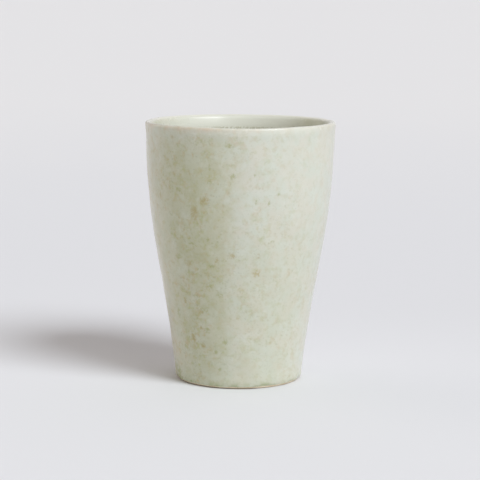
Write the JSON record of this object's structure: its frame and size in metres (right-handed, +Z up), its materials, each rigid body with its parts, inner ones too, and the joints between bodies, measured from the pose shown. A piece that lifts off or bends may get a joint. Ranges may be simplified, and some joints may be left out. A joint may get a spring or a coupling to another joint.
{
  "type": "handleless mug",
  "caption": "Tall handleless stoneware mug with a gently waisted, flaring wall, a thin rounded lip, a pale speckled green glaze and a bare clay standing ring.",
  "frame": {"origin": "centre of the standing ring, on the surface that the mug stands on", "axes": "+Z up along the mug's axis, towards the rim; the mug is round, so +X and +Y are free"},
  "size_m": [0.0804, 0.0804, 0.11],
  "materials": {
    "stoneware": "bare fired buff clay, fine grained and matte",
    "glaze": "satin pale sage green glaze, clouded, with soft tan and olive specks"
  },
  "bodies": {
    "root": {"stoneware_body": "stoneware", "outer_glaze": "glaze", "liner_glaze": "glaze", "base_glaze": "glaze"}
  },
  "joints": []
}
